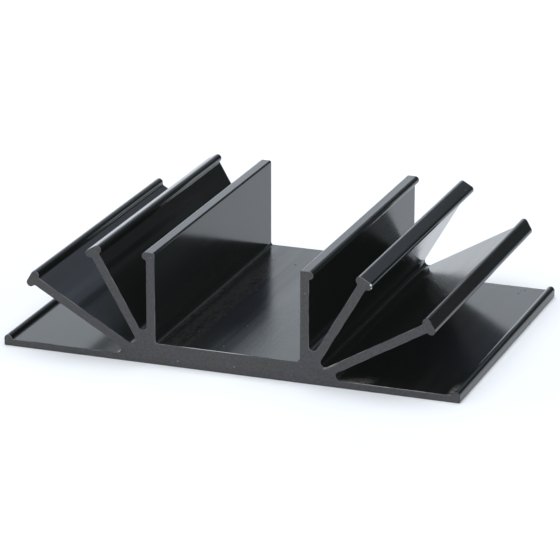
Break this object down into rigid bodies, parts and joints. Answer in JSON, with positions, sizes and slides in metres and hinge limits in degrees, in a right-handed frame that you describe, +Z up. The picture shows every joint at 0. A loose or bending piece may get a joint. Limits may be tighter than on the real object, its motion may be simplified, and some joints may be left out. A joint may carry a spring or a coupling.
{
  "type": "extruded heat sink",
  "caption": "Black extruded aluminium heat sink: a flat device channel between upright fins, bead-tipped fins fanning out on each side, and thin base flanges with a raised edge lip.",
  "frame": {"origin": "middle of the underside, halfway along the bar", "axes": "+X across the fins to the right flange, +Y along the bar, +Z up out of the channel"},
  "size_m": [0.1082, 0.075, 0.0264],
  "materials": {
    "anodised": "black anodised, semi-gloss along the extruded faces with faint die lines, duller and greyer on the sawn ends"
  },
  "bodies": {
    "root": {"heat_sink": "anodised"}
  },
  "joints": []
}
